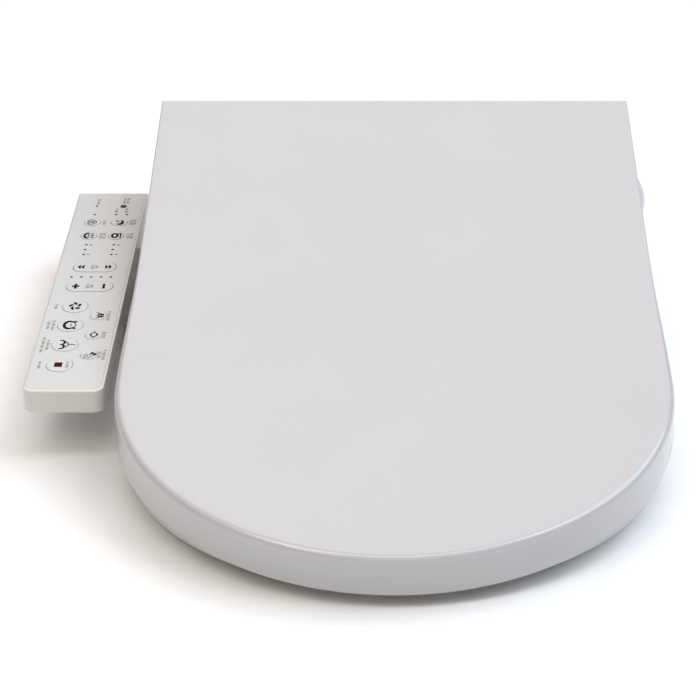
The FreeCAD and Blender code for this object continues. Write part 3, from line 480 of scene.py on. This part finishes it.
class Print:
    """Flat ink shapes laid on one height and riding on one body."""

    def __init__(self, name, body, z, material):
        self.name = name
        self.body = body
        self.z = z + LIFT
        self.material = material
        self.bm = bmesh.new()

    def strip(self, left, right, closed=False):
        """A band of film between two edges."""
        low = [(self.bm.verts.new((*a, self.z)), self.bm.verts.new((*b, self.z)))
               for a, b in zip(left, right)]
        high = [(self.bm.verts.new((*a, self.z + PRINT)), self.bm.verts.new((*b, self.z + PRINT)))
                for a, b in zip(left, right)]
        count = len(low) if closed else len(low) - 1
        for i in range(count):
            j = (i + 1) % len(low)
            for group, flip in ((low, True), (high, False)):
                face = (group[i][0], group[i][1], group[j][1], group[j][0])
                self.bm.faces.new(face[::-1] if flip else face)
            self.bm.faces.new((low[i][0], high[i][0], high[j][0], low[j][0]))
            self.bm.faces.new((low[i][1], low[j][1], high[j][1], high[i][1]))
        if not closed:
            for k in (0, -1):
                self.bm.faces.new((low[k][0], low[k][1], high[k][1], high[k][0]))

    def stroke(self, points, width, closed=False):
        """A line of constant width through these points."""
        left = []
        right = []
        count = len(points)
        for i, p in enumerate(points):
            before = points[(i - 1) % count] if closed or i > 0 else p
            after = points[(i + 1) % count] if closed or i < count - 1 else p
            along = Vector((after[0] - before[0], after[1] - before[1])).normalized()
            side = Vector((-along.y, along.x)) * width * STROKE_WEIGHT / 2
            left.append((p[0] + side.x, p[1] + side.y))
            right.append((p[0] - side.x, p[1] - side.y))
        self.strip(left, right, closed)

    def ring(self, x, y, r, width, start=0.0, sweep=360.0, squash=1.0):
        """A circle or arc, in degrees, stretched along Y by squash."""
        closed = sweep >= 360
        steps = max(8, int(sweep / 8))
        last = steps if closed else steps + 1
        points = []
        for i in range(last):
            a = math.radians(start + sweep * i / steps)
            points.append((x + r * math.cos(a), y + r * squash * math.sin(a)))
        self.stroke(points, width, closed)

    def blob(self, outline):
        """A filled shape."""
        low = [self.bm.verts.new((*p, self.z)) for p in outline]
        high = [self.bm.verts.new((*p, self.z + PRINT)) for p in outline]
        self.bm.faces.new(low[::-1])
        self.bm.faces.new(high)
        for i in range(len(outline)):
            j = (i + 1) % len(outline)
            self.bm.faces.new((low[i], low[j], high[j], high[i]))

    def dot(self, x, y, r, squash=1.0):
        angles = [2 * math.pi * i / 24 for i in range(24)]
        self.blob([(x + r * math.cos(a), y + r * squash * math.sin(a)) for a in angles])

    def bar(self, x, y, w, h):
        self.blob([(x - w / 2, y - h / 2), (x + w / 2, y - h / 2),
                   (x + w / 2, y + h / 2), (x - w / 2, y + h / 2)])

    def done(self):
        obj = finish_mesh(self.name, self.bm, self.material, 30)
        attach(obj, self.body)


def key_centre(node):
    low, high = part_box(node)
    return (low[0] + high[0]) / 2, (low[1] + high[1]) / 2


def legend(node, material=INK, kind="icon"):
    """A key's centre, and a print on its top face that moves with it."""
    x, y = key_centre(node)
    return x, y, Print(kind + "_" + node, node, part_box(node)[1][2], material)


def icon_dry():
    """Five fat swept fan blades."""
    x, y, art = legend("key_dry")
    for i in range(5):
        turn = math.radians(72 * i + 20)
        outline = []
        for k in range(24):
            a = 2 * math.pi * k / 24
            u = (3.3 + 1.75 * math.cos(a)) * MM
            v = (1.45 * math.sin(a) * (1 + 0.35 * math.cos(a)) + 1.0 * math.cos(a)) * MM
            px = u * math.cos(turn) - v * math.sin(turn)
            py = u * math.sin(turn) + v * math.cos(turn)
            outline.append((x + 0.93 * px, y + 1.15 * py))
        art.blob(outline)
    art.done()


def tapered_arc(art, x, y, r, squash, start, sweep, thin, thick):
    """An arc that is thick in its middle and thin at its ends."""
    outer = []
    inner = []
    steps = 40
    for i in range(steps + 1):
        a = math.radians(start + sweep * i / steps)
        half = (thin + (thick - thin) * math.sin(math.pi * i / steps)) / 2
        outer.append((x + (r + half) * math.cos(a), y + (r + half) * squash * math.sin(a)))
        inner.append((x + (r - half) * math.cos(a), y + (r - half) * squash * math.sin(a)))
    art.strip(outer, inner)


def icon_front_wash():
    """An open basin seen from above, with a thin inner line and spray dots."""
    x, y, art = legend("key_front_wash")
    tapered_arc(art, x - 0.4 * MM, y, 3.9 * MM, 1.34, 42, 276, 0.9 * MM, 2.3 * MM)
    for side in (-1, 1):
        art.stroke([(x + 1.8 * MM, y + side * 3.7 * MM), (x + 4.3 * MM, y + side * 5.4 * MM)], 1.9 * MM)
    art.ring(x + 1.5 * MM, y, 2.6 * MM, 0.6 * MM, -80, 160, 1.4)
    for i in (-1, 0, 1):
        art.dot(x + 0.6 * MM, y + 1.7 * i * MM, 0.55 * MM)
    art.done()


def bowed_pair(art, x, y, r, thin, thick):
    """Two bowed strokes side by side, open to one side."""
    tapered_arc(art, x, y + r, r, 1.05, -95, 205, thin, thick)
    tapered_arc(art, x, y - r, r, 1.05, -110, 205, thin, thick)


def icon_rear_wash():
    """Two bowed strokes over a branching jet."""
    x, y, art = legend("key_rear_wash")
    bowed_pair(art, x - 3.3 * MM, y, 2.9 * MM, 0.9 * MM, 1.75 * MM)
    for side in (-1, 1):
        for i in range(3):
            art.dot(x + (0.9 + 0.75 * i) * MM, y + side * (3.3 - 1.25 * i) * MM, 0.62 * MM)
    for i in range(4):
        art.bar(x + (3.0 + 1.25 * i) * MM, y, 0.95 * MM, 1.15 * MM)
    art.done()


def icon_stop():
    """A filled square with a row of small marks beside it."""
    x, y, art = legend("key_stop", STOP_INK)
    art.bar(x - 0.9 * MM, y, 5.6 * MM, 6.2 * MM)
    art.done()
    x, y, note = legend("key_stop", SOFT_INK, "note")
    text_line(note, x + 5.4 * MM, y, 8.5 * MM)
    note.done()


def icon_child():
    """A smaller pair of bowed strokes with a little figure beside it."""
    x, y, art = legend("key_child")
    bowed_pair(art, x - 1.5 * MM, y, 1.9 * MM, 0.6 * MM, 1.15 * MM)
    for i in (-1, 1):
        art.dot(x + 1.9 * MM, y + 1.7 * i * MM, 1.05 * MM, 1.35)
        art.dot(x + 3.3 * MM, y + 1.4 * i * MM, 0.75 * MM, 1.4)
    art.done()


def icon_pulse():
    """A rounded diamond with a pointer on each tip."""
    x, y, art = legend("key_pulse")
    tall = 1.55
    art.ring(x, y, 2.05 * MM, 0.85 * MM, 0, 360, tall)
    for i in range(4):
        a = math.radians(90 * i)
        spread = 0.55
        tip = (x + 3.5 * MM * math.cos(a), y + 3.3 * MM * tall * math.sin(a))
        left = (x + 2.2 * MM * math.cos(a + spread), y + 2.2 * MM * tall * math.sin(a + spread))
        right = (x + 2.2 * MM * math.cos(a - spread), y + 2.2 * MM * tall * math.sin(a - spread))
        art.blob([left, tip, right])
    art.done()


def icon_turbo():
    """Slanting broken jets with pointed heads."""
    x, y, art = legend("key_turbo")
    slope = Vector((0.62, 0.78))
    for start_x, start_y, length, headed in ((-4.0, -2.2, 4.4, False), (-3.0, -4.6, 7.0, True),
                                             (-0.4, -5.4, 6.2, True)):
        start = Vector((x + start_x * MM, y + start_y * MM))
        for i in range(3):
            a = start + slope * (length * (0.35 * i) * MM)
            b = start + slope * (length * (0.35 * i + 0.22) * MM)
            art.stroke([tuple(a), tuple(b)], 0.95 * MM)
        if headed:
            head = start + slope * (length + 1.2) * MM
            art.dot(head.x, head.y, 1.25 * MM, 1.25)
    art.done()


def icon_night_light():
    """A bulb outline on its stem."""
    x, y, art = legend("key_night_light", SOFT_INK)
    points = []
    for i in range(28):
        a = 2 * math.pi * i / 28
        points.append((x + (3.4 * math.cos(a) - 0.2) * MM,
                       y + 4.0 * MM * math.sin(a) * (1 - 0.45 * math.cos(a))))
    art.stroke(points, 0.85 * MM, closed=True)
    for side in (-1, 0, 1):
        art.stroke([(x - 2.7 * MM, y + side * 1.8 * MM), (x + 1.6 * MM, y + side * 0.8 * MM)], 0.75 * MM)
    art.done()


def icon_eco():
    """A crescent leaf with a vein."""
    x, y, art = legend("key_eco")
    tapered_arc(art, x, y, 2.6 * MM, 1.4, -140, 215, 0.6 * MM, 2.4 * MM)
    art.stroke([(x - 2.4 * MM, y + 2.0 * MM), (x + 0.6 * MM, y - 0.4 * MM)], 0.8 * MM)
    art.dot(x - 2.4 * MM, y + 2.6 * MM, 0.75 * MM)
    art.done()


def icon_cup():
    """A basin on its side with heat bars in its mouth."""
    x, y, art = legend("key_water_temp")
    tapered_arc(art, x - 0.9 * MM, y, 2.5 * MM, 1.6, 60, 240, 0.9 * MM, 1.9 * MM)
    for i in (-1, 0, 1):
        art.bar(x + 2.6 * MM, y + 2.8 * i * MM, 2.4 * MM, 1.5 * MM)
    art.bar(x - 0.4 * MM, y, 1.0 * MM, 3.8 * MM)
    art.done()


def icon_ring_heat():
    """A seat ring beside a heated bar."""
    x, y, art = legend("key_seat_temp")
    art.ring(x - 1.0 * MM, y, 2.1 * MM, 1.7 * MM, 0, 360, 1.6)
    art.bar(x + 3.5 * MM, y, 1.1 * MM, 8.4 * MM)
    art.bar(x + 2.4 * MM, y + 2.9 * MM, 1.6 * MM, 1.5 * MM)
    art.done()


def chevrons(art, x, y, way):
    """Two arrowheads that point the same way along X."""
    for i in (0, 1):
        tip = x + way * 2.7 * i * MM
        back = tip - way * 2.6 * MM
        art.blob([(back, y - 3.4 * MM), (tip, y), (back, y + 3.4 * MM)][::way])


def rocker_legends():
    """Arrows on one rocker, plus and minus on the other, and rows of small marks in the middle."""
    for node in ("rocker_position", "rocker_pressure"):
        x, y, art = legend(node)
        left = x - 10.4 * MM
        right = x + 10.6 * MM
        if node == "rocker_position":
            chevrons(art, left, y, -1)
            chevrons(art, right, y, 1)
        else:
            for centre in (left, right):
                art.bar(centre, y, 1.9 * MM, 7.4 * MM)
            for side in (-1, 1):
                art.bar(left + side * 1.9 * MM, y, 1.9 * MM, 2.1 * MM)
        art.done()
        x, y, note = legend(node, SOFT_INK, "note")
        text_line(note, x - 1.6 * MM, y, 7.0 * MM)
        text_line(note, x + 1.6 * MM, y, 5.0 * MM)
        note.done()


def text_line(art, x, y, length):
    """A row of fine upright marks across the arm that stands for a small printed word."""
    pitch = 1.2 * MM
    count = max(2, int(round(length / pitch)))
    start = y - (count - 1) * pitch / 2
    for i in range(count):
        if i % 5 == 4:
            continue
        tall = (2.3 if i % 2 else 1.8) * MM
        end = (tall / 2 - 0.2 * MM) * (1 if i % 3 else -1)
        art.bar(x, start + i * pitch, tall, 0.42 * MM)
        art.bar(x + end, start + (i + 0.3) * pitch, 0.4 * MM, 0.5 * MM)


def plate_labels():
    """Small print beside the keys, drawn as marks rather than words."""
    art = Print("plate_labels", "housing", PLATE_TOP, SOFT_INK)
    outer = PLATE_LOW[0] + 4.4 * MM
    inner = PLATE_HIGH[0] - 5.2 * MM
    for node, lengths in (("key_dry", (7,)), ("key_front_wash", (11, 14)),
                          ("key_rear_wash", (22, 15)), ("key_stop", (10,))):
        x, y = key_centre(node)
        for i, length in enumerate(lengths):
            text_line(art, outer + (3.6 * i - 1.8 * (len(lengths) - 2)) * MM, y, length * MM)
    for node, lengths in (("key_child", (14,)), ("key_pulse", (9,)), ("key_turbo", (9, 15))):
        x, y = key_centre(node)
        for i, length in enumerate(lengths):
            text_line(art, inner + 3.2 * i * MM - 1.2 * MM, y, length * MM)
    for node, lengths in (("key_night_light", (8,)), ("key_eco", (10, 10)),
                          ("key_water_temp", (9, 9)), ("key_seat_temp", (8, 9))):
        x, y = key_centre(node)
        for i, length in enumerate(lengths):
            text_line(art, x + (9.3 + 2.7 * i) * MM, y, length * MM)
    window_x, window_y = key_centre("sensor_window")
    text_line(art, window_x, window_y + 9.5 * MM, 9 * MM)
    text_line(art, window_x + 2.9 * MM, window_y + 10 * MM, 11 * MM)
    text_line(art, window_x + 3.3 * MM, window_y - 7.6 * MM, 8 * MM)
    text_line(art, window_x - 4.6 * MM, window_y - 7.6 * MM, 7 * MM)
    lamp_x = key_centre("key_night_light")[0]
    text_line(art, lamp_x + 0.4 * MM, window_y + 8.5 * MM, 9 * MM)
    for column in ("key_water_temp", "key_seat_temp"):
        x, y = key_centre(column)
        for drop in (15.2, 31.2):
            text_line(art, x + 3.6 * MM, y - drop * MM, 2.4 * MM)
    art.done()


def key_ridges():
    """Low embossed rings on the face plate around every round key, and round the rockers."""
    bm = bmesh.new()
    section = [(math.cos(a), max(0.0, math.sin(a))) for a in [math.pi * k / 8 for k in range(9)]]
    width = 0.3 * MM
    height = 0.1 * MM
    for node in [n for n in frame["nodes"] if n.startswith(("key_", "rocker_"))]:
        low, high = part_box(node)
        x, y = key_centre(node)
        rocker = node.startswith("rocker_")
        radius = (high[1] - low[1]) / 2 if rocker else (high[0] - low[0]) / 2 - 1.2 * MM
        reach = (high[0] - low[0]) / 2 - radius if rocker else 0.0
        middle = radius + 0.95 * MM
        rings = []
        for i in range(72):
            a = 2 * math.pi * (i + 0.5) / 72
            cx = x + math.copysign(reach, math.cos(a))
            rings.append([Vector((cx + (middle + width * u) * math.cos(a),
                                  y + (middle + width * u) * math.sin(a),
                                  PLATE_TOP - 0.02 * MM + height * v)) for u, v in section])
        loft(bm, rings, closed=True)
    ridges = finish_mesh("key_ridges", bm, MATERIALS["arm_plate"], 60)
    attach(ridges, "housing")


def make_legends():
    icon_dry()
    icon_front_wash()
    icon_rear_wash()
    icon_stop()
    icon_child()
    icon_pulse()
    icon_turbo()
    icon_night_light()
    icon_eco()
    icon_cup()
    icon_ring_heat()
    rocker_legends()
    plate_labels()
    key_ridges()


# ---------------------------------------------------------------- CAD nodes that keep their shape

def dress_cad_nodes():
    """Every CAD node gets the material that its record names."""
    for name, obj in frame["nodes"].items():
        material = MATERIALS[SLOTS[name]]
        if not obj.data.materials:
            obj.data.materials.append(material)
        for slot in obj.material_slots:
            slot.link = "OBJECT"
            slot.material = material


# ---------------------------------------------------------------- stage

def make_floor():
    mat, tree, shader, coords = base_material("studio_floor")
    grain = noise(tree, coords, 30, 3)
    tone = ramp(tree, grain, 0.86, 0.88)
    link(tree, tone, "Color", shader, "Base Color")
    shader.inputs["Roughness"].default_value = 0.9
    shader.inputs["Specular IOR Level"].default_value = 0.1
    bm = bmesh.new()
    bm.faces.new([bm.verts.new((x * FLOOR_REACH, y * FLOOR_REACH, -FLOOR_DROP))
                  for x, y in ((-1, -1), (1, -1), (1, 1), (-1, 1))])
    floor = finish_mesh("studio_floor", bm, mat)


def new_light(name, kind, power, color, aim):
    data = bpy.data.lights.new(name, kind)
    data.energy = power
    data.color = color
    obj = bpy.data.objects.new(name, data)
    obj.rotation_euler = aim.to_track_quat("-Z", "Y").to_euler()
    bpy.context.scene.collection.objects.link(obj)
    return obj


def area_light(name, place, target, size, power, color):
    obj = new_light(name, "AREA", power, color, Vector(target) - Vector(place))
    obj.location = place
    obj.data.shape = "RECTANGLE"
    obj.data.size, obj.data.size_y = size


def soft_sun(name, place, strength, spread, color):
    """A broad even light from far away, so that the floor stays pale to its edge."""
    obj = new_light(name, "SUN", strength, color, -Vector(place))
    obj.data.angle = math.radians(spread)


def make_lights():
    world = bpy.data.worlds.new("studio_world")
    bpy.context.scene.world = world
    world.use_nodes = True
    sky = world.node_tree.nodes["Background"]
    sky.inputs["Color"].default_value = (1.0, 0.98, 0.95, 1)
    sky.inputs["Strength"].default_value = 0.25
    soft_sun("top_light", (0, 0.2, 1), 0.88, 104, (1.0, 0.94, 0.90))
    soft_sun("right_light", (0.9, 0.1, 1), 1.84, 50, (0.73, 0.87, 1.0))
    soft_sun("rear_light", (0, 1.0, 1), 0.63, 50, (1.0, 0.93, 0.91))
    soft_sun("front_light", (0, -0.8, 1), 0.32, 50, (1.0, 0.86, 0.78))
    area_light("edge_strip", (0.1, -0.95, 2.2), (0, -0.4, 0.05), (2.6, 0.32), 14, (0.98, 0.95, 1.0))
    area_light("arm_fill", (-0.35, -0.75, 0.6), (-0.23, -0.35, 0.05), (0.3, 0.3), 0.85, (1.0, 0.95, 0.74))


def make_camera():
    data = bpy.data.cameras.new("camera")
    data.sensor_width = 36
    data.lens = 108.62
    data.shift_x = -0.0668
    data.clip_start = 0.01
    data.clip_end = 50
    camera = bpy.data.objects.new("camera", data)
    camera.location = (0, -1.5206, 0.812)
    camera.rotation_euler = (math.radians(90 - CAMERA_TILT), 0, 0)
    bpy.context.scene.collection.objects.link(camera)
    bpy.context.scene.camera = camera
    bpy.context.scene.view_settings.view_transform = "Standard"


make_camera()
dress_cad_nodes()
make_lid()
make_hinge_caps()
make_legends()
make_floor()
make_lights()
